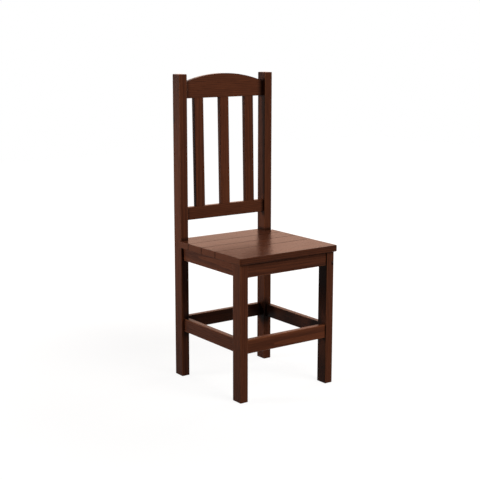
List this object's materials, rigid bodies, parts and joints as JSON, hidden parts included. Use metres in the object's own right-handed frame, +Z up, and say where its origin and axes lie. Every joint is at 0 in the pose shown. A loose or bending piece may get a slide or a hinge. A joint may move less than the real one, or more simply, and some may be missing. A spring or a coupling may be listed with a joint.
{
  "type": "wooden dining chair",
  "caption": "Armless wooden dining chair with straight legs, floor stretchers, a flat board seat and a slatted back under an arched crest rail.",
  "frame": {"origin": "on the floor, under the middle of the chair's footprint", "axes": "+Z up, the chair faces -Y, +X to the right as seen from its front"},
  "size_m": [0.3742, 0.3782, 0.977],
  "materials": {
    "stained_wood": "dark reddish-brown stain under satin lacquer",
    "bare_wood": "planed, unstained",
    "zinc_steel": "zinc plated"
  },
  "bodies": {
    "root": {"rear_leg_left": "stained_wood", "rear_leg_right": "stained_wood", "front_leg_left": "stained_wood", "front_leg_right": "stained_wood", "front_apron": "stained_wood", "rear_apron": "stained_wood", "side_apron_left": "stained_wood", "side_apron_right": "stained_wood", "front_stretcher": "stained_wood", "rear_stretcher": "stained_wood", "side_stretcher_left": "stained_wood", "side_stretcher_right": "stained_wood", "crest_rail": "stained_wood", "lower_back_rail": "stained_wood", "back_slat_left": "stained_wood", "back_slat_middle": "stained_wood", "back_slat_right": "stained_wood", "seat_board_front": "stained_wood", "seat_board_second": "stained_wood", "seat_board_third": "stained_wood", "seat_board_rear": "stained_wood", "corner_block_front_left": "bare_wood", "corner_block_front_right": "bare_wood", "corner_block_rear_left": "bare_wood", "corner_block_rear_right": "bare_wood", "seat_tongues": "bare_wood", "corner_block_screws": "zinc_steel", "seat_screws": "zinc_steel"}
  },
  "joints": []
}
